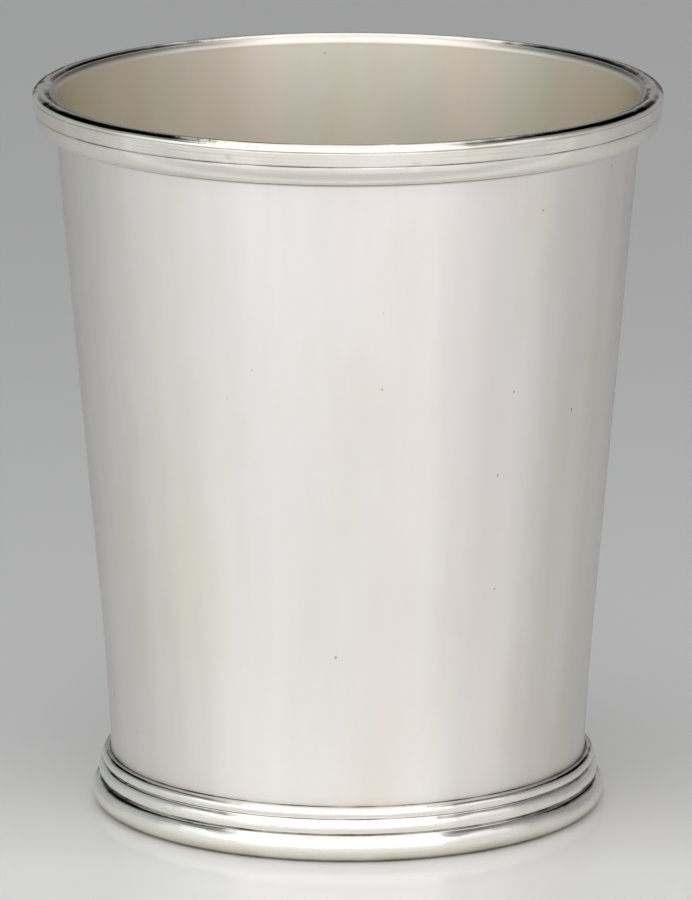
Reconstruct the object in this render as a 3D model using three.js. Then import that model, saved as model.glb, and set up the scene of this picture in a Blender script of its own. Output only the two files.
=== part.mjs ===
// A julep cup in sterling silver: a tapered sheet wall, a let-in floor, and drawn wires soldered round rim and foot.
// Lengths are in millimetres. The cup stands on the plane z = 0 with its axis on +Z.
import * as THREE from 'three';

// Overall sizes
const cupHeight = 95.25;
const rimDiameter = 82;
const footDiameter = 67.5;

// Sheet, and the room for solder between two curved faces
const wallGauge = 0.51;
const floorGauge = 0.64;
const solderGap = 0.3;

// Foot ring: a heavy wire with a half-round face and a flat top, turned up into a hoop
const footRingHeight = 3.75;
const footRingEase = 0.4;
const floorSeatWidth = 1;

// Wall: a straight cone, spread a little just above the foot; the lip leans out and is rounded on the inside
const rimProjection = 2.83;
const footProjection = 3.26;
const footFlare = 0.63;
const footFlareHeight = 22.25;
const lipHeight = 1.6;
const lipLean = 0.37;
const lipDrop = 0.26;

// Rim bead: a wire with a flat face that leans out a little, and a rounded top that runs back to the lip
const rimBeadHeight = 2.75;
const rimBeadRise = 0.87;
const rimBeadLean = 0.15;
const rimBeadEase = 0.25;
const rimCrestReach = 1.32;
const rimCrestDrop = 0.11;

// Rim reed: a quarter-round wire under the bead, ending in a level ledge
const rimReedHeight = 2.55;
const rimReedLedge = 0.85;
const rimReedSetback = 0.25;
const rimReedEase = 0.15;

// Foot reeds: one drawn wire with a small round reed over a larger oval one; arcs in degrees, 90 upwards
const footReedSetback = 0.9;
const lowerReedReach = 1.2;
const lowerReedRise = 1.3;
const upperReedRadius = 0.83;
const lowerReedArc = [-30, 64];
const upperReedArc = [-46, 90];

// Facets round the cup, and along its curves
const turns = 84;
const flareSteps = 4;
const curveSteps = 4;

const rimRadius = rimDiameter / 2;
const footRadius = footDiameter / 2;
const rimBeadSeat = cupHeight - rimBeadHeight;
const rimReedSeat = rimBeadSeat - rimReedHeight;
const lipEdge = cupHeight - lipDrop;
const lipStart = lipEdge - lipHeight;

const satinSilver = new THREE.MeshStandardMaterial({ color: 0xe4e1da, roughness: 0.34, metalness: 1 });
const polishedSilver = new THREE.MeshStandardMaterial({ color: 0xebe9e3, roughness: 0.1, metalness: 1 });

// Outside radius of the cone, spread near the foot by a parabola that dies away upwards.
function coneRadius(height) {
  const share = (height - footRingHeight) / (rimBeadSeat - footRingHeight);
  const straight = THREE.MathUtils.lerp(footRadius - footProjection, rimRadius - rimProjection, share);
  const rise = Math.max(0, 1 - (height - footRingHeight) / footFlareHeight);
  return straight + footFlare * rise * rise;
}

// Outside radius of the wall: the cone, and the lean of the lip added evenly over its height.
function outsideRadius(height) {
  return coneRadius(height) + lipLean * THREE.MathUtils.clamp((height - lipStart) / lipHeight, 0, 1);
}

function insideRadius(height) {
  return outsideRadius(height) - wallGauge;
}

// Evenly stepped values, both ends included.
function steps(from, to, count) {
  return Array.from({ length: count + 1 }, (unused, i) => THREE.MathUtils.lerp(from, to, i / count));
}

// Points on an elliptical arc in the section plane; angles in degrees, 0 outwards and 90 upwards.
function arc(radius, height, reach, rise, from, to, count) {
  return steps(from, to, count).map((degrees) => {
    const angle = THREE.MathUtils.degToRad(degrees);
    return new THREE.Vector2(radius + reach * Math.cos(angle), height + rise * Math.sin(angle));
  });
}

// The same arc, placed so that it starts at a given point.
function arcFrom(start, reach, rise, [from, to], count) {
  const angle = THREE.MathUtils.degToRad(from);
  const radius = start.x - reach * Math.cos(angle);
  const height = start.y - rise * Math.sin(angle);
  return arc(radius, height, reach, rise, from, to, count);
}

// A section, listed anticlockwise with radius to the right, turned round the cup's axis.
function turned(name, section, material) {
  const geometry = new THREE.LatheGeometry(section, turns);
  geometry.rotateX(Math.PI / 2);
  const mesh = new THREE.Mesh(geometry, material);
  mesh.name = name;
  return mesh;
}

function hoop(name, section, material) {
  return turned(name, [...section, section[0].clone()], material);
}

// The ring reaches inwards under the wall far enough to give the floor its seat.
function footRing() {
  const round = footRingHeight / 2;
  const inner = insideRadius(footRingHeight) - solderGap - floorSeatWidth;
  const section = [
    new THREE.Vector2(inner + footRingEase, 0),
    ...arc(footRadius - round, round, round, round, -90, 90, 3 * curveSteps),
    new THREE.Vector2(inner, footRingHeight),
    new THREE.Vector2(inner, footRingEase),
  ];
  return hoop('foot_ring', section, polishedSilver);
}

// The floor is a flat disc that lies on the foot ring's top, inside the wall.
function floorPlate() {
  const top = footRingHeight + floorGauge;
  const radius = insideRadius(footRingHeight) - solderGap;
  const section = [
    new THREE.Vector2(0, footRingHeight),
    new THREE.Vector2(radius, footRingHeight),
    new THREE.Vector2(radius, top),
    new THREE.Vector2(0, top),
  ];
  return turned('floor_plate', section, satinSilver);
}

// An arc that leaves one point straight upwards and curves outwards to another; listed from its far end.
function risingArc(start, end, count) {
  const reach = end.x - start.x;
  const rise = end.y - start.y;
  const radius = (reach * reach + rise * rise) / (2 * reach);
  const turn = THREE.MathUtils.radToDeg(Math.asin(rise / radius));
  return arc(start.x + radius, start.y, radius, radius, 180 - turn, 180, count);
}

// The wall stands on the foot ring's top; at the lip its inside curves out to meet the outside in an edge.
function cupWall() {
  const heights = [...steps(footRingHeight, footRingHeight + footFlareHeight, flareSteps), lipStart];
  const outside = heights.map((height) => new THREE.Vector2(outsideRadius(height), height));
  const inside = heights.map((height) => new THREE.Vector2(insideRadius(height), height)).reverse();
  const edge = new THREE.Vector2(outsideRadius(lipEdge), lipEdge);
  const round = risingArc(inside[0], edge, curveSteps);
  return hoop('cup_wall', [...outside, ...round, ...inside.slice(1)], satinSilver);
}

// The bead sits on the reed's flat top, carries the crest of the rim, and backs on to the wall and its lip.
function rimBead() {
  const crest = rimRadius - rimCrestReach;
  const foot = rimRadius - rimBeadLean - rimBeadEase;
  const back = [cupHeight - rimCrestDrop, lipStart, rimBeadSeat].map(
    (height) => new THREE.Vector2(outsideRadius(height) + solderGap, height));
  const section = [
    ...arc(foot, rimBeadSeat + rimBeadEase, rimBeadEase, rimBeadEase, -90, 0, 3),
    ...arc(crest, cupHeight - rimBeadRise, rimCrestReach, rimBeadRise, 0, 90, 2 * curveSteps),
    ...back,
  ];
  return hoop('rim_bead', section, polishedSilver);
}

// The reed wraps the wall, its quarter-round face running in to the ledge.
function rimReed() {
  const face = rimRadius - rimReedSetback;
  const back = [rimBeadSeat, rimReedSeat].map(
    (height) => new THREE.Vector2(outsideRadius(height) + solderGap, height));
  const ledge = outsideRadius(rimReedSeat) + solderGap + rimReedLedge;
  const section = [
    ...arc(ledge, rimBeadSeat - rimReedEase, face - ledge, rimReedHeight - rimReedEase, -90, 0, 2 * curveSteps),
    new THREE.Vector2(face - rimReedEase, rimBeadSeat),
    ...back,
  ];
  return hoop('rim_reed', section, polishedSilver);
}

// One wire with two reeds, standing on the foot ring round the wall; the upper reed starts where the lower ends.
function footReeds() {
  const startAngle = THREE.MathUtils.degToRad(lowerReedArc[0]);
  const startRadius = footRadius - footReedSetback - lowerReedReach * (1 - Math.cos(startAngle));
  const start = new THREE.Vector2(startRadius, footRingHeight);
  const lower = arcFrom(start, lowerReedReach, lowerReedRise, lowerReedArc, 2 * curveSteps);
  const upper = arcFrom(lower.at(-1), upperReedRadius, upperReedRadius, upperReedArc, 2 * curveSteps);
  const top = upper.at(-1).y;
  const section = [
    ...lower,
    ...upper.slice(1),
    new THREE.Vector2(coneRadius(top) + solderGap, top),
    new THREE.Vector2(coneRadius(footRingHeight) + solderGap, footRingHeight),
  ];
  return hoop('foot_reeds', section, polishedSilver);
}

const julepCup = new THREE.Group();
julepCup.add(footRing(), floorPlate(), cupWall(), footReeds(), rimReed(), rimBead());

export default julepCup;
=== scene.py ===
"""A silver julep cup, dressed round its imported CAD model.

The file follows the cup as a silversmith puts it together: foot ring, floor, wall, and the three drawn
wires. The camera comes first and the studio last. Sizes are written in millimetres and turned to metres in
the meshes. Each piece is a section, a list of (radius, height) points, turned round the cup's axis.
"""

import bmesh
import bpy
import numpy as np
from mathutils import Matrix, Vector


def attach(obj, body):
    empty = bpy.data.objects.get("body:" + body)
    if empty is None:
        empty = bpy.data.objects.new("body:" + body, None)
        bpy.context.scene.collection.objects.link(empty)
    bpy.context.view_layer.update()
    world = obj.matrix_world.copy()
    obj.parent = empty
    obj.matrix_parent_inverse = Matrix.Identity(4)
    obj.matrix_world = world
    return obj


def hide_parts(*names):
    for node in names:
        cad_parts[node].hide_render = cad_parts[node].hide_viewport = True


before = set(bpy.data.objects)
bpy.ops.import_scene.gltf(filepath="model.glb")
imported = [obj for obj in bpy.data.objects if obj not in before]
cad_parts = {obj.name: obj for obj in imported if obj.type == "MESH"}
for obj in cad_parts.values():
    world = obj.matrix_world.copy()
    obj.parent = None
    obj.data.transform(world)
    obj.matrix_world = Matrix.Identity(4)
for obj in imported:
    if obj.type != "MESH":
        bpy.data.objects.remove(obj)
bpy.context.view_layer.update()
scene = bpy.context.scene
scene.view_settings.view_transform = "Standard"


# Camera
# A long lens a little over a metre away, thirteen degrees above the table, as the photograph was taken.
# The frame's long side is the picture's height.
millimetre = 0.001
camera_distance = 1102.8
camera_elevation = 13.01
camera_target = (-0.25, 0, 46.85)
camera_lens = 336.6
camera_sensor = 36
camera_near = 50
camera_far = 20000

camera_data = bpy.data.cameras.new("camera")
camera_data.sensor_width = camera_sensor
camera_data.lens = camera_lens
camera_data.clip_start = camera_near * millimetre
camera_data.clip_end = camera_far * millimetre
camera = bpy.data.objects.new("camera", camera_data)
scene.collection.objects.link(camera)
camera_rise = np.radians(camera_elevation)
camera_way = Vector((0, -np.cos(camera_rise), np.sin(camera_rise)))
camera.location = (Vector(camera_target) + camera_way * camera_distance) * millimetre
camera.rotation_mode = "QUATERNION"
camera.rotation_quaternion = (-camera_way).to_track_quat("-Z", "Y")
scene.camera = camera


# Foot ring
# The ring that the cup stands on: a heavy sterling wire with a half-round face and a flat top, bent into a
# hoop and soldered shut, then polished bright on the buff with the rest of the mouldings.
foot_radius = 33.75
ring_height = 3.75
ring_ease = 0.4
floor_seat = 1.0

# The wall's cone, which the ring, the floor and the wires are all fitted to
rim_radius = 41.0
cup_height = 95.25
wall_gauge = 0.51
rim_projection = 2.83
foot_projection = 3.26
foot_flare = 0.63
foot_flare_height = 22.25
bead_height = 2.75
bead_seat = cup_height - bead_height

# The room left for solder between two curved faces, and how far a hidden face runs into its neighbour
solder_gap = 0.3
let_in = 0.03

# Points round the cup, the angle past which an edge stays crisp, and the gaps under which points are one
turns = 384
sharp_angle = 40
same_point = 1e-6
weld_reach = 1e-4

# Hand work: fewest and most waves round the cup, how much their depths differ, how steeply they tilt the
# face of a wire at the foot, and how much their phase leans in a millimetre of height
fewest_waves = 5
most_waves = 36
depth_shares = (0.4, 1.6)
foot_wire_slope = 0.0011
wire_lean = 0.02


def cone_radius(height):
    """Outside of the wall's cone: straight from foot to rim, plus a parabola that dies away over the foot."""
    share = (height - ring_height) / (bead_seat - ring_height)
    low = foot_radius - foot_projection
    high = rim_radius - rim_projection
    rise = np.maximum(0, 1 - (height - ring_height) / foot_flare_height)
    return low + (high - low) * share + foot_flare * rise**2


def arc(radius, height, reach, rise, start, end, count):
    """Points of an ellipse round (radius, height), from one angle to another in degrees: reach times the
    cosine outwards, rise times the sine upwards."""
    angle = np.radians(np.linspace(start, end, count + 1))
    return np.stack([radius + reach * np.cos(angle), height + rise * np.sin(angle)], axis=1)


def line(start, end, count):
    """Points evenly spaced along a straight line, both ends included."""
    share = np.linspace(0, 1, count + 1)[:, None]
    return np.asarray(start, float) * (1 - share) + np.asarray(end, float) * share


def bow(start, corner, end, count):
    """A parabola from start to end, tangent there to the lines that meet at the corner: each point is the
    three given points weighted by (1 - t) squared, 2 t (1 - t), and t squared."""
    share = np.linspace(0, 1, count + 1)[:, None]
    return (np.asarray(start, float) * (1 - share)**2 + np.asarray(corner, float) * 2 * share * (1 - share)
            + np.asarray(end, float) * share**2)


def joined(*runs):
    """The runs one after another, with points that repeat the one before left out."""
    points = np.vstack(runs)
    step = np.linalg.norm(np.diff(points, axis=0), axis=1)
    return points[np.concatenate([[True], step > same_point])]


def near(*places):
    """A mark that is 1 at each place (radius, height, reach) and falls to 0 at its reach, by the square."""
    def mark(section):
        marks = [np.clip(1 - np.hypot(*(section - place[:2]).T) / place[2], 0, 1)**2 for place in places]
        return np.max(marks, axis=0)
    return mark


def packed(*places, fill=2.2):
    """The same mark, filled to 1 over the third of the reach that is nearest to each place."""
    mark = near(*places)
    return lambda section: np.clip(fill * mark(section), 0, 1)


def even(amount):
    """A mark of the same amount everywhere."""
    return lambda section: np.full(len(section), amount)


def hand_work(seed, slope, radius, lean):
    """The unevenness that hand work leaves: a sum of waves round the cup. The depth of each is slope times
    radius over the number of waves, so that all tilt the surface alike. Their phase leans with height."""
    chance = np.random.default_rng(seed)
    waves = np.arange(fewest_waves, most_waves + 1)
    phase = chance.uniform(0, 2 * np.pi, len(waves))
    drift = chance.normal(0, lean, len(waves))
    depth = slope * radius / waves * chance.uniform(*depth_shares, len(waves))

    def sway(angle, height):
        total = np.zeros(np.broadcast(angle, height).shape)
        for number, start, shift, size in zip(waves, phase, drift, depth):
            total += size * np.sin(number * angle + start + shift * height)
        return total
    return sway


def turned(name, section, sway=None, **marks):
    """A section, listed anticlockwise with radius to the right, turned round the cup's axis.

    A point at angle t stands at (radius sin t, -radius cos t, height). A section that starts and ends on the
    axis is closed by poles, and any other joins its last point to its first. The map runs once round the cup
    and once along the section. Each mark is a share from 0 to 1 by place in the section, kept on the points
    for the materials to read.
    """
    section = np.asarray(section, float)
    poled = section[0, 0] == 0
    if not poled and np.allclose(section[0], section[-1]):
        section = section[:-1]
    count = len(section)
    angle = np.arange(turns) * 2 * np.pi / turns
    radius = np.repeat(section[:, :1], turns, axis=1)
    height = np.repeat(section[:, 1:], turns, axis=1)
    if sway is not None:
        radius = radius + sway(angle[None, :], height) * (radius > 0)
    places = np.stack([radius * np.sin(angle), -radius * np.cos(angle), height], axis=-1).reshape(-1, 3)
    last = count - 1 if poled else count
    row = np.arange(last)[:, None]
    column = np.arange(turns)[None, :]
    right = (column + 1) % turns
    above = (row + 1) % count
    corners = np.stack(np.broadcast_arrays(
        row * turns + column, row * turns + right, above * turns + right, above * turns + column), axis=-1)
    closed = np.vstack([section, section[:1]])
    length = np.concatenate([[0], np.cumsum(np.linalg.norm(np.diff(closed, axis=0), axis=1))])
    length = length / length[last]
    left_edge = np.broadcast_to(column / turns, (last, turns))
    low_edge = np.broadcast_to(length[row], (last, turns))
    high_edge = np.broadcast_to(length[row + 1], (last, turns))
    place_in_map = np.stack([
        np.stack([left_edge, low_edge], -1), np.stack([left_edge + 1 / turns, low_edge], -1),
        np.stack([left_edge + 1 / turns, high_edge], -1), np.stack([left_edge, high_edge], -1)], axis=2)
    mesh = bpy.data.meshes.new(name)
    mesh.from_pydata(places * millimetre, [], corners.reshape(-1, 4))
    layer = mesh.uv_layers.new(name="OFBake")
    layer.uv.foreach_set("vector", place_in_map.astype(np.float32).ravel())
    for mark, share in marks.items():
        values = np.repeat(share(section), turns).astype(np.float32)
        mesh.attributes.new(mark, "FLOAT", "POINT").data.foreach_set("value", values)
    if poled:
        weld_poles(mesh)
    mesh.validate()
    mesh.shade_smooth()
    mesh.set_sharp_from_angle(angle=np.radians(sharp_angle))
    piece = bpy.data.objects.new(name, mesh)
    scene.collection.objects.link(piece)
    return piece


def weld_poles(mesh):
    """Merges the points that lie on the axis at one height, which leaves a fan of triangles there."""
    solid = bmesh.new()
    solid.from_mesh(mesh)
    bmesh.ops.remove_doubles(solid, verts=solid.verts, dist=weld_reach * millimetre)
    solid.to_mesh(mesh)
    solid.free()


def linear(colour):
    """An sRGB hex colour as linear light, by the standard curve: a line near black, and above it a power of
    2.4."""
    value = np.array([int(colour[place:place + 2], 16) for place in (1, 3, 5)]) / 255
    light = np.where(value <= 0.04045, value / 12.92, ((value + 0.055) / 1.055) ** 2.4)
    return (*(float(part) for part in light), 1.0)


def pattern_scale(size):
    """The scale of a pattern on Object coordinates whose features are this many millimetres across: how many
    of them lie in a metre."""
    return 1 / (size * millimetre)


def add_node(tree, kind, inputs=None, **settings):
    """Adds a node with its settings. Each of its inputs is given a value, or a link from another node's
    output."""
    node = tree.nodes.new(kind)
    for name, value in settings.items():
        setattr(node, name, value)
    for name, value in (inputs or {}).items():
        if isinstance(value, bpy.types.NodeSocket):
            tree.links.new(value, node.inputs[name])
        else:
            node.inputs[name].default_value = value
    return node


def new_material(name):
    """An empty material and its node tree."""
    material = bpy.data.materials.new(name)
    material.use_nodes = True
    material.node_tree.nodes.clear()
    return material, material.node_tree


# Polished sterling silver, drawn through a plate and brought to a mirror with rouge on a soft buff. It is
# nearly white. A slow swell, small dents, fine knocks in patches and faint lines along the wire break up what
# it mirrors, and the lines are coarser than real ones so that they show. The grooves keep a little old polish
# and are darkened further with painted shade, a painted contact shadow runs along the table, and a thin
# tarnish lies in patches.
bright_colour = "#f2eee8"
film_colour = "#d4cdb2"
# This dark colour paints shade in the creases and a contact shadow along the table, as well as old polish and
# pits
grime_colour = "#38352f"
grime_roughness = 0.3
cloud_size = 7.14
swell_size = 5.0
swell_depth = 0.16
dent_spacing = 6.67
dent_radius = 0.867
dent_depth = 0.06
knock_size = 1.0
knock_depth = 0.028
knocked_patch_size = 9.09
draw_line_depth = 0.04

# The lines are a pattern on the piece's map: 4 of its features go round the cup, and 24 across the section
draw_line_counts = (4.0, 24.0, 1.0)

polished_silver, tree = new_material("polished_sterling_silver")
place = add_node(tree, "ShaderNodeTexCoord")
cloud = add_node(tree, "ShaderNodeTexNoise", {
    "Vector": place.outputs["Object"], "Scale": pattern_scale(cloud_size), "Detail": 3.0})
bright = add_node(tree, "ShaderNodeMapRange", {
    "Value": cloud.outputs["Fac"], "From Min": 0.35, "From Max": 0.7, "To Min": 0.05, "To Max": 0.12})
patch = add_node(tree, "ShaderNodeMapRange", {
    "Value": cloud.outputs["Fac"], "From Min": 0.35, "From Max": 0.65, "To Min": 0.4, "To Max": 1.2})
# Painted shade with a little old polish in the creases, and a painted contact shadow along the table, darken
# the colour here
grime_mark = add_node(tree, "ShaderNodeAttribute", attribute_name="grime")
grime = add_node(tree, "ShaderNodeMath", {
    0: grime_mark.outputs["Fac"], 1: patch.outputs["Result"]}, operation="MULTIPLY", use_clamp=True)
film_mark = add_node(tree, "ShaderNodeAttribute", attribute_name="film")
film = add_node(tree, "ShaderNodeMath", {
    0: film_mark.outputs["Fac"], 1: patch.outputs["Result"]}, operation="MULTIPLY", use_clamp=True)
tint = add_node(tree, "ShaderNodeMix", {
    0: film.outputs[0], 6: linear(bright_colour), 7: linear(film_colour)}, data_type="RGBA")
marked = add_node(tree, "ShaderNodeMix", {
    0: grime.outputs[0], 6: tint.outputs[2], 7: linear(grime_colour)}, data_type="RGBA")
dulled = add_node(tree, "ShaderNodeMix", {
    0: grime.outputs[0], 2: bright.outputs["Result"], 3: grime_roughness})
swell = add_node(tree, "ShaderNodeTexNoise", {
    "Vector": place.outputs["Object"], "Scale": pattern_scale(swell_size), "Detail": 1.0})
worn = add_node(tree, "ShaderNodeBump", {
    "Height": swell.outputs["Fac"], "Strength": 1.0, "Distance": swell_depth * millimetre})
dent_cells = add_node(tree, "ShaderNodeTexVoronoi", {
    "Vector": place.outputs["Object"], "Scale": pattern_scale(dent_spacing)})
dents = add_node(tree, "ShaderNodeMapRange", {
    "Value": dent_cells.outputs["Distance"], "From Min": 0.0, "From Max": dent_radius / dent_spacing,
    "To Min": 0.0, "To Max": 1.0}, interpolation_type="SMOOTHSTEP")
dented = add_node(tree, "ShaderNodeBump", {
    "Height": dents.outputs["Result"], "Strength": 1.0, "Distance": dent_depth * millimetre,
    "Normal": worn.outputs["Normal"]})
knocks = add_node(tree, "ShaderNodeTexNoise", {
    "Vector": place.outputs["Object"], "Scale": pattern_scale(knock_size), "Detail": 2.0})
knocked_patch = add_node(tree, "ShaderNodeTexNoise", {
    "Vector": place.outputs["Object"], "Scale": pattern_scale(knocked_patch_size)})
knocked_share = add_node(tree, "ShaderNodeMapRange", {
    "Value": knocked_patch.outputs["Fac"], "From Min": 0.42, "From Max": 0.62},
    interpolation_type="SMOOTHSTEP")
knocked = add_node(tree, "ShaderNodeMath", {
    0: knocks.outputs["Fac"], 1: knocked_share.outputs["Result"]}, operation="MULTIPLY")
battered = add_node(tree, "ShaderNodeBump", {
    "Height": knocked.outputs[0], "Strength": 1.0, "Distance": knock_depth * millimetre,
    "Normal": dented.outputs["Normal"]})
along = add_node(tree, "ShaderNodeUVMap", uv_map="OFBake")
draw_scale = add_node(tree, "ShaderNodeMapping", {"Vector": along.outputs["UV"], "Scale": draw_line_counts})
draw_lines = add_node(tree, "ShaderNodeTexNoise", {
    "Vector": draw_scale.outputs["Vector"], "Scale": 1.0, "Detail": 3.0})
drawn = add_node(tree, "ShaderNodeBump", {
    "Height": draw_lines.outputs["Fac"], "Strength": 1.0, "Distance": draw_line_depth * millimetre,
    "Normal": battered.outputs["Normal"]})
surface = add_node(tree, "ShaderNodeBsdfPrincipled", {
    "Base Color": marked.outputs[2], "Metallic": 1.0, "Roughness": dulled.outputs[0],
    "Normal": drawn.outputs["Normal"]})
add_node(tree, "ShaderNodeOutputMaterial", {"Surface": surface.outputs["BSDF"]})

ring_round = ring_height / 2
ring_centre = foot_radius - ring_round
ring_inner = float(cone_radius(ring_height)) - wall_gauge - solder_gap - floor_seat
ring_section = joined(
    line((ring_inner + ring_ease, 0), (ring_centre, 0), 3),
    arc(ring_centre, ring_round, ring_round, ring_round, -90, 90, 72),
    line((ring_centre, ring_height), (ring_inner, ring_height), 3),
    line((ring_inner, ring_height), (ring_inner, ring_ease), 3),
    arc(ring_inner + ring_ease, ring_ease, ring_ease, ring_ease, 180, 270, 6),
)

# Marks on the ring: a painted contact shadow along the table, old polish and painted shade in the crease
# where the reeds stand on it, and tarnish below its middle
contact_shadow_offset = 0.3
contact_shadow_reach = 1.5
contact_shadow_share = 0.7
reed_foot_radius = 32.66
reed_foot_level = 3.57
reed_foot_reach = 0.3
crease_share = 0.85
ring_film_start = 0.2
ring_film_depth = 0.7
ring_film_share = 0.62


def ring_film(section):
    """Tarnish on the ring: none down to just below the middle of its face, and from there more and more
    towards the table."""
    below = ring_round - ring_film_start - section[:, 1]
    return ring_film_share * np.clip(below / ring_film_depth, 0, 1)


def ring_grime(section):
    """Dark marks on the ring: a painted contact shadow along the table, and old polish with painted shade
    packed into the crease under the reeds.
    """
    contact_shadow = near((ring_centre + contact_shadow_offset, 0, contact_shadow_reach))
    reed_foot = packed((reed_foot_radius, reed_foot_level, reed_foot_reach))
    return np.maximum(contact_shadow_share * contact_shadow(section), crease_share * reed_foot(section))


foot_ring = turned(
    "foot_ring_wire", ring_section, hand_work(3, foot_wire_slope, foot_radius, wire_lean),
    film=ring_film, grime=ring_grime)
foot_ring.data.materials.append(polished_silver)
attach(foot_ring, "root")
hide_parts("foot_ring")


# Floor
# A flat disc of sterling sheet, let in from below so that it lies on the ring inside the wall, and soldered
# round. The solder runs up into a small hollow fillet. The disc has the wall's satin finish.
floor_gauge = 0.64
floor_fillet = 0.45
floor_film_share = 0.4
floor_top = ring_height + floor_gauge
floor_radius = float(cone_radius(floor_top)) - wall_gauge + let_in

# Sterling silver sheet with a butler's finish: rubbed round and round with fine pumice and then with the
# hand. The rubbing smears what it mirrors up and down the wall and keeps it clear from side to side. Its
# white blushes a little here and there. Upright streaks of duller silver lie in it, much coarser than the
# real scratches so that they show, with small pits and patches of yellow tarnish, which is strongest inside.
satin_colour = "#f5f2ef"
satin_blush_colour = "#f7f1ee"
rubbed_colour = "#d6d3cf"
yellowed_colour = "#e2d9b8"
stain_colour = "#d2ceb4"
stain_blush_colour = "#d8cbb5"
patch_size = 16.67
patch_height_share = 0.45
blush_size = 14.29
streak_size = 7.69
streak_height_share = 0.05
pit_spacing = 5.0
pit_core = 0.07
pit_edge = 0.25
bare_cell_share = 0.1

satin_silver, tree = new_material("satin_sterling_silver")
place = add_node(tree, "ShaderNodeTexCoord")
streak_scale = add_node(tree, "ShaderNodeMapping", {
    "Vector": place.outputs["Object"], "Scale": (1.0, 1.0, streak_height_share)})
patch_scale = add_node(tree, "ShaderNodeMapping", {
    "Vector": place.outputs["Object"], "Scale": (1.0, 1.0, patch_height_share)})
patch = add_node(tree, "ShaderNodeTexNoise", {
    "Vector": patch_scale.outputs["Vector"], "Scale": pattern_scale(patch_size), "Detail": 4.0})
patch_share = add_node(tree, "ShaderNodeMapRange", {
    "Value": patch.outputs["Fac"], "From Min": 0.5, "From Max": 0.74, "To Min": 0.0, "To Max": 0.26})
film_mark = add_node(tree, "ShaderNodeAttribute", attribute_name="film")
blush = add_node(tree, "ShaderNodeTexNoise", {
    "Vector": streak_scale.outputs["Vector"], "Scale": pattern_scale(blush_size), "Detail": 2.0})
blush_share = add_node(tree, "ShaderNodeMapRange", {
    "Value": blush.outputs["Fac"], "From Min": 0.4, "From Max": 0.6})
clean = add_node(tree, "ShaderNodeMix", {
    0: blush_share.outputs["Result"], 6: linear(satin_colour), 7: linear(satin_blush_colour)},
    data_type="RGBA")
streaks = add_node(tree, "ShaderNodeTexNoise", {
    "Vector": streak_scale.outputs["Vector"], "Scale": pattern_scale(streak_size), "Detail": 5.0,
    "Roughness": 0.55})
streak_share = add_node(tree, "ShaderNodeMapRange", {
    "Value": streaks.outputs["Fac"], "From Min": 0.36, "From Max": 0.66, "To Min": 0.0, "To Max": 0.23})
rubbed = add_node(tree, "ShaderNodeMix", {
    0: streak_share.outputs["Result"], 6: clean.outputs[2], 7: linear(rubbed_colour)}, data_type="RGBA")
yellowed = add_node(tree, "ShaderNodeMix", {
    0: patch_share.outputs["Result"], 6: rubbed.outputs[2], 7: linear(yellowed_colour)}, data_type="RGBA")
stain = add_node(tree, "ShaderNodeMix", {
    0: blush_share.outputs["Result"], 6: linear(stain_colour), 7: linear(stain_blush_colour)},
    data_type="RGBA")
tint = add_node(tree, "ShaderNodeMix", {
    0: film_mark.outputs["Fac"], 6: yellowed.outputs[2], 7: stain.outputs[2]}, data_type="RGBA")
pits = add_node(tree, "ShaderNodeTexVoronoi", {
    "Vector": place.outputs["Object"], "Scale": pattern_scale(pit_spacing)})
pit_size = add_node(tree, "ShaderNodeMapRange", {
    "Value": pits.outputs["Distance"], "From Min": pit_core / pit_spacing, "From Max": pit_edge / pit_spacing,
    "To Min": 0.6, "To Max": 0.0})
pit_chance = add_node(tree, "ShaderNodeSeparateColor", {"Color": pits.outputs["Color"]})
pit_kept = add_node(tree, "ShaderNodeMath", {
    0: pit_chance.outputs["Red"], 1: bare_cell_share}, operation="GREATER_THAN")
pit_share = add_node(tree, "ShaderNodeMath", {
    0: pit_size.outputs["Result"], 1: pit_kept.outputs[0]}, operation="MULTIPLY")
# Pits, and painted shade with a little old polish in the wall's corners under the rim reed and over the foot
# reeds, darken the colour here
grime_mark = add_node(tree, "ShaderNodeAttribute", attribute_name="grime")
grime = add_node(tree, "ShaderNodeMath", {
    0: pit_share.outputs[0], 1: grime_mark.outputs["Fac"]}, operation="MAXIMUM")
marked = add_node(tree, "ShaderNodeMix", {
    0: grime.outputs[0], 6: tint.outputs[2], 7: linear(grime_colour)}, data_type="RGBA")
run = add_node(tree, "ShaderNodeTangent", direction_type="UV_MAP", uv_map="OFBake")
surface = add_node(tree, "ShaderNodeBsdfPrincipled", {
    "Base Color": marked.outputs[2], "Metallic": 1.0, "Roughness": 0.36, "Anisotropic": 0.78,
    "Anisotropic Rotation": 0.25, "Tangent": run.outputs["Tangent"]})
add_node(tree, "ShaderNodeOutputMaterial", {"Surface": surface.outputs["BSDF"]})

fillet_start = (floor_radius, floor_top + floor_fillet)
fillet_end = (floor_radius - floor_fillet, floor_top)
floor_section = joined(
    line((0, ring_height), (floor_radius, ring_height), 16),
    line((floor_radius, ring_height), fillet_start, 3),
    bow(fillet_start, (floor_radius, floor_top), fillet_end, 8),
    line(fillet_end, (0, floor_top), 16),
)
floor_plate = turned("floor_disc", floor_section, film=even(floor_film_share))
floor_plate.data.materials.append(satin_silver)
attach(floor_plate, "root")
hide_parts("floor_plate")


# Wall
# Sterling sheet, rolled to a tapered tube, seamed with hard solder and trued on a stake. It spreads a little
# at the foot, and its lip leans out behind the bead. The inside runs straight up and is rounded over at the
# edge.
lip_height = 1.6
lip_lean = 0.37
lip_drop = 0.26
lip_edge = cup_height - lip_drop
lip_start = lip_edge - lip_height
round_height = 0.95
round_start = lip_edge - round_height
flare_end = ring_height + foot_flare_height
rim_zone_start = 88

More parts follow.
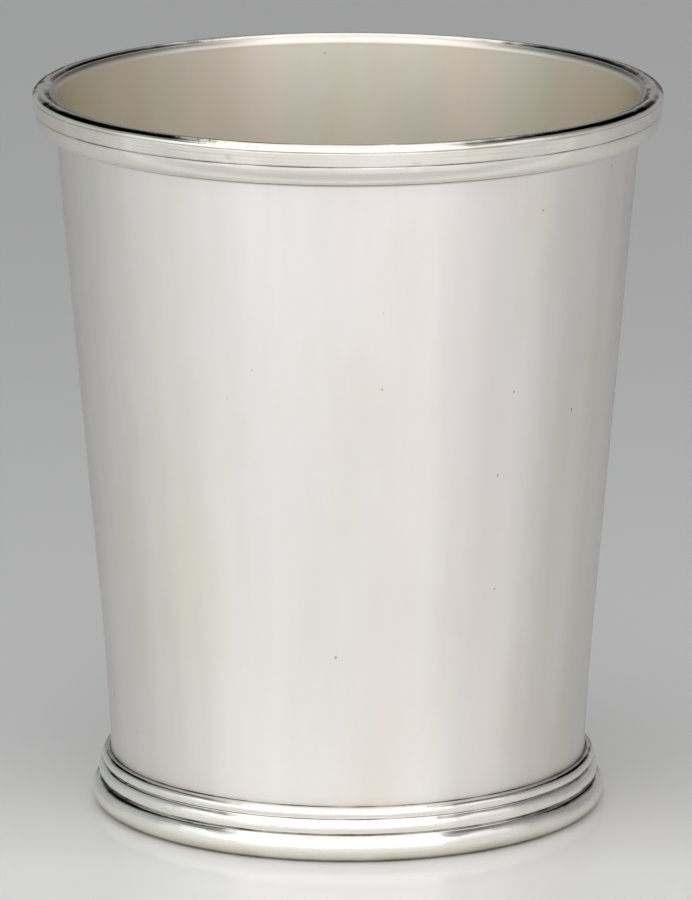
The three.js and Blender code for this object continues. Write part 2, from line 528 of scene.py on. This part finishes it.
# Tarnish inside, and how much cleaner the lip is; outside, tarnish and painted shade towards the foot and
# just above the reeds
inside_film_share = 0.5
lip_clean_share = 0.8
foot_tarnish_and_shade_share = 0.1
over_reeds_tarnish_and_shade_share = 0.08
over_reeds_tarnish_and_shade_level = 7
over_reeds_tarnish_and_shade_rise = 4

# Old polish and painted shade: in the corner under the rim reed, and in the corner over the foot reeds
under_rim_level = 89.7
under_rim_reach = 0.42
over_reeds_level = 7.1
over_reeds_reach = 0.6

# Hand work in the sheet, and how it dies away towards the wires
wall_slope = 0.0034
wall_lean = 0.03
held_margin = 4
foot_easing = 10
rim_easing = 8


def outside_radius(height):
    """Outside of the wall: the cone, with the lean of the lip added evenly over its height."""
    return cone_radius(height) + lip_lean * np.clip((height - lip_start) / lip_height, 0, 1)


def rising_arc(start, end, count):
    """Circle that leaves start straight upwards and curves outwards to end, listed from end to start. Its
    radius is (reach squared plus rise squared) over twice the reach."""
    reach, rise = np.asarray(end, float) - start
    radius = (reach**2 + rise**2) / (2 * reach)
    turn = np.degrees(np.arcsin(rise / radius))
    return arc(start[0] + radius, start[1], radius, radius, 180 - turn, 180, count)


def wall_film(section):
    """Film on the wall: tarnish most inside and less on the rounded lip, and outside a little tarnish and
    painted shade, more towards the foot and just above the reeds."""
    radius, height = section.T
    inside = radius < outside_radius(height) - wall_gauge / 2
    down = 1 - height / cup_height
    over_reeds = np.clip(1 - (height - over_reeds_tarnish_and_shade_level) / over_reeds_tarnish_and_shade_rise, 0, 1)**2
    outside = foot_tarnish_and_shade_share * down + over_reeds_tarnish_and_shade_share * over_reeds
    lip = np.clip((height - round_start) / round_height, 0, 1)
    return np.where(inside, inside_film_share * (1 - lip_clean_share * lip), outside)


def on_cone(height, reach):
    """A place for a mark on the outside of the wall's cone, at a height."""
    return float(cone_radius(height)), height, reach


outside_heights = np.concatenate([
    np.linspace(ring_height, flare_end, 30),
    np.linspace(flare_end, rim_zone_start, 24)[1:],
    np.linspace(rim_zone_start, lip_start, 40)[1:]])
inside_heights = np.append(outside_heights, np.linspace(lip_start, round_start, 6)[1:])
wall_outside = np.stack([outside_radius(outside_heights), outside_heights], axis=1)
wall_inside = np.stack([cone_radius(inside_heights) - wall_gauge, inside_heights], axis=1)[::-1]
lip_outer = (float(outside_radius(lip_edge)), lip_edge)
wall_section = joined(
    wall_outside,
    line(wall_outside[-1], lip_outer, 4),
    rising_arc(wall_inside[0], lip_outer, 24),
    wall_inside,
)
wall_waves = hand_work(11, wall_slope, foot_radius, wall_lean)


def wall_sway(angle, height):
    """The wall's hand work, held still at the foot and at the rim, where the wires are soldered on. Between
    them it grows as 3 s squared minus 2 s cubed, where s is the share of the easing that is passed."""
    from_foot = np.clip((height - ring_height - held_margin) / foot_easing, 0, 1)
    from_rim = np.clip((bead_seat - held_margin - height) / rim_easing, 0, 1)
    free = from_foot * from_rim
    return wall_waves(angle, height) * free * free * (3 - 2 * free)


# The wall's dark mark paints shade, with a little old polish, in the corners under the rim reed and over the
# foot reeds
cup_wall = turned(
    "wall_sheet", wall_section, wall_sway, film=wall_film,
    grime=near(on_cone(under_rim_level, under_rim_reach), on_cone(over_reeds_level, over_reeds_reach)))
cup_wall.data.materials.append(satin_silver)
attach(cup_wall, "root")
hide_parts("cup_wall")


# Foot reeds
# One drawn wire with two reeds, a small round one over a larger oval one. It stands on the ring round the
# wall and is soldered to both, and the solder is rubbed down to small hollow fillets.
reed_setback = 0.9
lower_reach = 1.2
lower_rise = 1.3
lower_start = -30
lower_end = 64
upper_radius = 0.83
upper_start = -46

# Solder: how many degrees round the lower reed its crease lies, the fillets on the wall and on the ring,
# how many points of the reeds a fillet takes up, and how deep the hidden back goes
crease_turn = 8
reed_fillet = 0.08
reed_fillet_drop = 0.02
ring_fillet = 0.1
meeting_points = 3
wall_points = 6
back_drop = 0.4
back_step = 0.06

# Old polish and painted shade in the creases: over the ring, along the wall, and where the two reeds meet
crease_reach = 0.32
along_wall_rise = 0.05
along_wall_reach = 0.5
meeting_reach = 0.16

start_angle = np.radians(lower_start)
lower_centre = foot_radius - reed_setback - lower_reach
lower_level = ring_height - lower_rise * np.sin(start_angle)
crossing = np.radians(lower_start - crease_turn)
crease = np.array([
    lower_centre + lower_reach * np.cos(crossing), lower_level + lower_rise * np.sin(crossing)])
lower_reed = arc(lower_centre, lower_level, lower_reach, lower_rise, lower_start, lower_end, 40)
ring_angle = np.arctan2(crease[1] - ring_round, crease[0] - ring_centre) - ring_fillet / ring_round
ring_point = np.array([
    ring_centre + ring_round * np.cos(ring_angle), ring_round + ring_round * np.sin(ring_angle)])
upper_angle = np.radians(upper_start)
meeting = lower_reed[-1]
upper_centre = meeting - upper_radius * np.array([np.cos(upper_angle), np.sin(upper_angle)])
upper_reed = arc(*upper_centre, upper_radius, upper_radius, upper_start, 90, 48)
reeds_top = upper_reed[-1, 1]
wall_there = float(cone_radius(reeds_top))
reeds_section = joined(
    bow(ring_point, crease, lower_reed[0], 14),
    lower_reed[:-meeting_points],
    bow(lower_reed[-meeting_points], meeting, upper_reed[meeting_points], 8),
    upper_reed[meeting_points:-wall_points],
    bow(upper_reed[-wall_points], (wall_there, reeds_top - reed_fillet_drop),
        (wall_there, reeds_top + reed_fillet), 14),
    [(wall_there - let_in, reeds_top + reed_fillet)],
    line((wall_there - let_in, reeds_top),
         (float(cone_radius(ring_height)) - let_in, ring_height - back_drop), 6),
    [ring_point - (back_step, back_step)],
)


def reeds_grime(section):
    """Old polish and painted shade packed into the creases: over the ring, along the wall, and between the
    reeds.
    """
    over_ring = packed((*crease, crease_reach))
    above = packed((wall_there, reeds_top + along_wall_rise, along_wall_reach), (*meeting, meeting_reach))
    return np.maximum(crease_share * over_ring(section), above(section))


foot_reeds = turned(
    "foot_reed_wire", reeds_section, hand_work(5, foot_wire_slope, foot_radius, wire_lean),
    grime=reeds_grime)
foot_reeds.data.materials.append(polished_silver)
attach(foot_reeds, "root")
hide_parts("foot_reeds")


# Rim reed
# A quarter-round wire under the bead, soldered round the wall. Its face runs in to a narrow ledge against the
# wall, and old polish with painted shade darkens it under the ledge and where the bead sits on it.
reed_height = 2.55
reed_ledge = 0.85
reed_inset = 0.25
reed_ease = 0.1
reed_film_share = 0.12
bead_line_reach = 0.24
ledge_line_inset = 0.3
ledge_line_drop = 0.1
ledge_line_reach = 0.6
rim_wire_slope = 0.0007

reed_seat = bead_seat - reed_height
reed_face = rim_radius - reed_inset
wall_under = float(outside_radius(reed_seat))
wall_behind = float(outside_radius(bead_seat))
ledge_radius = wall_under + solder_gap + reed_ledge
reed_section = joined(
    arc(ledge_radius, bead_seat - reed_ease, reed_face - ledge_radius, reed_height - reed_ease, -90, 0, 48),
    bow((reed_face, bead_seat - reed_ease), (reed_face, bead_seat), (reed_face - reed_ease, bead_seat), 6),
    line((reed_face - reed_ease, bead_seat), (wall_behind - let_in, bead_seat), 3),
    line((wall_behind - let_in, bead_seat), (wall_under - let_in, reed_seat), 4),
    line((wall_under - let_in, reed_seat), (ledge_radius, reed_seat), 5),
)
# The dark marks on this wire paint shade under the ledge and where the bead sits on it, with a little old
# polish
under_ledge = (ledge_radius - ledge_line_inset, reed_seat - ledge_line_drop, ledge_line_reach)
rim_reed = turned(
    "rim_reed_wire", reed_section, hand_work(8, rim_wire_slope, rim_radius, wire_lean),
    film=even(reed_film_share), grime=near((reed_face, bead_seat, bead_line_reach), under_ledge))
rim_reed.data.materials.append(polished_silver)
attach(rim_reed, "root")
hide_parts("rim_reed")


# Rim bead
# The wire that carries the crest of the rim: a flat face that leans out a little, with a shallow draw mark
# along its top, and a rounded crest that runs back to the lip.
bead_rise = 0.87
bead_lean = 0.15
bead_ease = 0.1
bead_film_share = 0.25
crest_reach = 1.32
draw_mark_depth = 0.03
draw_mark_width = 0.1
draw_mark_clearance = 1
draw_mark_reach = 0.22
draw_mark_share = 0.5

# The angle, in degrees below level, at which the crest comes down to the lip
crest_fall = 25

crest_radius = rim_radius - crest_reach
face_foot = (rim_radius - bead_lean, bead_seat + bead_ease)
face_top = (rim_radius, cup_height - bead_rise)
lip_slope = np.tan(np.radians(crest_fall))
lip_corner = (lip_outer[0] + lip_drop / lip_slope, cup_height)
front = joined(
    bow((face_foot[0] - bead_ease, bead_seat), (face_foot[0], bead_seat), face_foot, 6),
    line(face_foot, face_top, 60),
    arc(crest_radius, cup_height - bead_rise, crest_reach, bead_rise, 0, 90, 60),
)

# The draw mark is a bell curve of height, cut into the outer side only
off_mark = (front[:, 1] - face_top[1] + draw_mark_width / 2) / draw_mark_width
front[:, 0] -= draw_mark_depth * np.exp(-off_mark**2) * (front[:, 0] > crest_radius + draw_mark_clearance)
bead_section = joined(
    front,
    bow((crest_radius, cup_height), lip_corner, lip_outer, 16),
    [(lip_outer[0] - let_in, lip_edge - let_in)],
    line((float(outside_radius(lip_start)) - let_in, lip_start), (wall_behind - let_in, bead_seat), 4),
    line((wall_behind - let_in, bead_seat), (face_foot[0] - bead_ease, bead_seat), 3),
)


def bead_grime(section):
    """Old polish and painted shade on the bead: along its foot, and half as much in the draw mark."""
    foot_line = near((face_foot[0], bead_seat, bead_line_reach))
    draw_mark = near((rim_radius - draw_mark_depth, face_top[1] - draw_mark_width / 2, draw_mark_reach))
    return np.maximum(foot_line(section), draw_mark_share * draw_mark(section))


rim_bead = turned(
    "rim_bead_wire", bead_section, hand_work(9, rim_wire_slope, rim_radius, wire_lean),
    film=even(bead_film_share), grime=bead_grime)
rim_bead.data.materials.append(polished_silver)
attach(rim_bead, "root")
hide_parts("rim_bead")


# Studio
# A pale, slightly glossy table top under a wide soft light that comes down to the table's level in front,
# with painted shade that darkens it towards the back. The light and the grey sides are painted on the world
# by direction, so they stand still as the camera moves.
table_radius = 3000
table_sides = 96
table_near = -300
table_far = 700
table_near_colour = "#f7f7f7"
table_far_colour = "#a7a7a7"

# Painted shade on the table: how far it has gone from its near colour to its far one, by the distance behind
# the cup's axis in mm. It stands for light falling off towards the back, and for a darker band in front of
# the cup that the lower wall mirrors.
painted_table_shades = [
    (-300, 0.0), (-260, 0.0), (-180, 0.22), (-110, 0.43), (-80, 0.38), (-60, 0.17), (-44, 0.13),
    (-25, 0.25), (-6, 0.32), (15, 0.38), (57, 0.46), (104, 0.56), (150, 0.64), (205, 0.71),
    (262, 0.77), (326, 0.82), (392, 0.855), (472, 0.87), (600, 0.885), (700, 0.9)]

table, tree = new_material("pale_acrylic_table")
place = add_node(tree, "ShaderNodeTexCoord")
spread = add_node(tree, "ShaderNodeSeparateXYZ", {"Vector": place.outputs["Object"]})
back_share = add_node(tree, "ShaderNodeMapRange", {
    "Value": spread.outputs["Y"], "From Min": table_near * millimetre, "From Max": table_far * millimetre})
darkening = add_node(tree, "ShaderNodeFloatCurve", {"Value": back_share.outputs["Result"]})
shade_curve = darkening.mapping.curves[0]
for number, (distance, share) in enumerate(painted_table_shades):
    spot = (distance - table_near) / (table_far - table_near)
    if number == 0:
        shade_curve.points[0].location = (spot, share)
    elif number == len(painted_table_shades) - 1:
        shade_curve.points[-1].location = (spot, share)
    else:
        shade_curve.points.new(spot, share)
darkening.mapping.update()
shade = add_node(tree, "ShaderNodeMix", {
    0: darkening.outputs["Value"], 6: linear(table_near_colour), 7: linear(table_far_colour)},
    data_type="RGBA")
surface = add_node(tree, "ShaderNodeBsdfPrincipled", {
    "Base Color": shade.outputs[2], "Roughness": 0.18})
add_node(tree, "ShaderNodeOutputMaterial", {"Surface": surface.outputs["BSDF"]})

table_mesh = bpy.data.meshes.new("table_top")
table_angle = np.arange(table_sides) * 2 * np.pi / table_sides
table_edge = np.stack([np.cos(table_angle), np.sin(table_angle), table_angle * 0], axis=-1)
table_mesh.from_pydata(table_edge * table_radius * millimetre, [], [tuple(range(table_sides))])
table_top = bpy.data.objects.new("table_top", table_mesh)
table_mesh.materials.append(table)
scene.collection.objects.link(table_top)

world = bpy.data.worlds.new("studio")
scene.world = world
world.use_nodes = True
tree = world.node_tree
tree.nodes.clear()
place = add_node(tree, "ShaderNodeTexCoord")
way = add_node(tree, "ShaderNodeSeparateXYZ", {"Vector": place.outputs["Generated"]})
towards_camera = add_node(tree, "ShaderNodeMath", {0: way.outputs["Y"], 1: -1.0}, operation="MULTIPLY")
turn = add_node(tree, "ShaderNodeMath", {
    0: way.outputs["X"], 1: towards_camera.outputs[0]}, operation="ARCTAN2")
azimuth = add_node(tree, "ShaderNodeMath", {0: turn.outputs[0]}, operation="DEGREES")
lift = add_node(tree, "ShaderNodeMath", {0: way.outputs["Z"]}, operation="ARCSINE")
elevation = add_node(tree, "ShaderNodeMath", {0: lift.outputs[0]}, operation="DEGREES")
round_share = add_node(tree, "ShaderNodeMapRange", {
    "Value": azimuth.outputs[0], "From Min": -180.0, "From Max": 180.0})

# What changes with the direction round the cup, in degrees, 0 on the camera's side and positive to the
# right. sides: light from the walls of the studio. edge: the elevation at which the overhead light begins.
# overhead: its strength. seam: how much darker it is just under that edge. Each has the highest value that
# its curve can hold, and then its stops.
by_direction = {
    "sides": (1.6, [
        (-180, .34), (-165, .39), (-150, .4), (-135, .46), (-120, .58), (-105, .66), (-97, .74), (-90, .83),
        (-82, .87), (-75, .93), (-60, 1.08), (-45, 1.22), (-30, 1.45), (-8, 1.5), (8, 1.5), (30, 1.4),
        (45, .96), (60, .78), (75, .72), (82, .68), (90, .59), (105, .54), (113, .44), (120, .39),
        (135, .37), (150, .38), (165, .38), (180, .34)]),
    "edge": (90, [
        (-180, 29), (-174, 33), (-165, 48), (-156, 54), (-142, 61), (-128, 63), (-112, 62), (-98, 60),
        (-82, 57), (-72, 52), (-63, 42), (-58, 30), (-50, 12), (-42, 0), (36, 0), (46, 18), (52, 36),
        (57, 52), (62, 58), (70, 62), (82, 65), (98, 68), (128, 69), (142, 66), (158, 56), (167, 47),
        (174, 33), (180, 29)]),
    "overhead": (1.6, [
        (-180, 1.15), (-158, 1.2), (-140, 1.4), (140, 1.4), (158, 1.2), (180, 1.15)]),
    "seam": (1, [
        (-180, 0), (-150, 0), (-135, .6), (-120, .5), (-105, .3), (-90, .65), (-75, .5), (-66, .35),
        (-56, 0), (50, 0), (58, .45), (75, .6), (90, .55), (105, .45), (120, .15), (135, .2), (150, 0),
        (180, 0)]),
}
found = {}
for name, (highest, stops) in by_direction.items():
    curve = add_node(tree, "ShaderNodeFloatCurve", {"Value": round_share.outputs["Result"]})
    points = curve.mapping.curves[0].points
    points[0].location = (0, stops[0][1] / highest)
    points[-1].location = (1, stops[-1][1] / highest)
    for degrees, value in stops[1:-1]:
        points.new((degrees + 180) / 360, value / highest)
    for point in points:
        point.handle_type = "AUTO_CLAMPED"
    curve.mapping.update()
    found[name] = add_node(tree, "ShaderNodeMath", {
        0: curve.outputs["Value"], 1: float(highest)}, operation="MULTIPLY").outputs[0]

# The side light grows stronger upwards in front and weaker upwards behind, up to the brightest that it may
# be, and darkens in the seam under the overhead light
brightest_side = 1.5
away = add_node(tree, "ShaderNodeMath", {0: azimuth.outputs[0]}, operation="ABSOLUTE")
forward = add_node(tree, "ShaderNodeMapRange", {
    "Value": away.outputs[0], "From Min": 78.0, "From Max": 98.0, "To Min": 0.4, "To Max": -0.4})
upward = add_node(tree, "ShaderNodeMapRange", {
    "Value": elevation.outputs[0], "From Min": 5.0, "From Max": 35.0})
gain = add_node(tree, "ShaderNodeMath", {
    0: forward.outputs["Result"], 1: upward.outputs["Result"], 2: 1.0}, operation="MULTIPLY_ADD")
grown = add_node(tree, "ShaderNodeMath", {0: found["sides"], 1: gain.outputs[0]}, operation="MULTIPLY")
side_light = add_node(tree, "ShaderNodeMath", {0: grown.outputs[0], 1: brightest_side}, operation="MINIMUM")
above_edge = add_node(tree, "ShaderNodeMath", {
    0: elevation.outputs[0], 1: found["edge"]}, operation="SUBTRACT")
in_seam = add_node(tree, "ShaderNodeMapRange", {
    "Value": above_edge.outputs[0], "From Min": -20.0, "From Max": -11.0}, interpolation_type="SMOOTHSTEP")
seam_depth = add_node(tree, "ShaderNodeMath", {
    0: in_seam.outputs["Result"], 1: found["seam"]}, operation="MULTIPLY")
seam_kept = add_node(tree, "ShaderNodeMath", {
    0: seam_depth.outputs[0], 1: -1.0, 2: 1.0}, operation="MULTIPLY_ADD")
light = add_node(tree, "ShaderNodeMath", {
    0: seam_kept.outputs[0], 1: side_light.outputs[0]}, operation="MULTIPLY")

# Dark places with soft oval edges: openings at the back corners, a low band behind, and the camera between
# the two front lights. Each has its direction, elevation, half width and half height in degrees, how much
# it climbs for each degree to the right, and how dark it is.
dark_places = [
    (-149, 38, 28, 20, 0.45, 1.0),
    (151, 36, 23, 19, -0.6, 1.0),
    (147, 50, 8, 14, -1.5, 1.0),
    (-180, 0, 16, 8, 0.0, 0.8),
    (180, 0, 16, 8, 0.0, 0.8),
    (0, 22, 7, 22, 0.0, 0.7),
]
for direction, level, width, height, climb, depth in dark_places:
    off_side = add_node(tree, "ShaderNodeMath", {
        0: azimuth.outputs[0], 1: 1 / width, 2: -direction / width}, operation="MULTIPLY_ADD")
    climbed = add_node(tree, "ShaderNodeMath", {
        0: azimuth.outputs[0], 1: -climb, 2: climb * direction - level}, operation="MULTIPLY_ADD")
    above_level = add_node(tree, "ShaderNodeMath", {
        0: elevation.outputs[0], 1: climbed.outputs[0]}, operation="ADD")
    off_level = add_node(tree, "ShaderNodeMath", {
        0: above_level.outputs[0], 1: float(height)}, operation="DIVIDE")
    squared = add_node(tree, "ShaderNodeMath", {
        0: off_side.outputs[0], 1: off_side.outputs[0]}, operation="MULTIPLY")
    distance = add_node(tree, "ShaderNodeMath", {
        0: off_level.outputs[0], 1: off_level.outputs[0], 2: squared.outputs[0]}, operation="MULTIPLY_ADD")
    kept = add_node(tree, "ShaderNodeMapRange", {
        "Value": distance.outputs[0], "From Min": 0.5, "From Max": 1.5, "To Min": 1 - depth, "To Max": 1.0},
        interpolation_type="SMOOTHSTEP")
    light = add_node(tree, "ShaderNodeMath", {
        0: light.outputs[0], 1: kept.outputs["Result"]}, operation="MULTIPLY")

# The overhead light over all of that, and a slightly cool cast on the side light from the left
cast_direction = -115.0
cast_colour = "#f8fffd"
lit = add_node(tree, "ShaderNodeMapRange", {
    "Value": above_edge.outputs[0], "From Min": -5.0, "From Max": 5.0}, interpolation_type="SMOOTHSTEP")
lights = add_node(tree, "ShaderNodeMix", {
    0: lit.outputs["Result"], 2: light.outputs[0], 3: found["overhead"]})
from_cast = add_node(tree, "ShaderNodeMath", {0: azimuth.outputs[0], 1: -cast_direction}, operation="ADD")
off_cast = add_node(tree, "ShaderNodeMath", {0: from_cast.outputs[0]}, operation="ABSOLUTE")
left_share = add_node(tree, "ShaderNodeMapRange", {
    "Value": off_cast.outputs[0], "From Min": 75.0, "From Max": 35.0}, interpolation_type="SMOOTHSTEP")
unlit = add_node(tree, "ShaderNodeMath", {0: 1.0, 1: lit.outputs["Result"]}, operation="SUBTRACT")
cast_share = add_node(tree, "ShaderNodeMath", {
    0: left_share.outputs["Result"], 1: unlit.outputs[0]}, operation="MULTIPLY")
cast = add_node(tree, "ShaderNodeMix", {
    0: cast_share.outputs[0], 6: (1.0, 1.0, 1.0, 1.0), 7: linear(cast_colour)}, data_type="RGBA")
studio_light = add_node(tree, "ShaderNodeBackground", {
    "Color": cast.outputs[2], "Strength": lights.outputs[0]})

# Past the table the camera sees plain grey, as in the photograph
backdrop_colour = "#a0a0a0"
plain_grey = add_node(tree, "ShaderNodeBackground", {"Color": linear(backdrop_colour), "Strength": 1.0})
path = add_node(tree, "ShaderNodeLightPath")
seen = add_node(tree, "ShaderNodeMixShader", {
    0: path.outputs["Is Camera Ray"], 1: studio_light.outputs[0], 2: plain_grey.outputs[0]})
add_node(tree, "ShaderNodeOutputWorld", {"Surface": seen.outputs[0]})
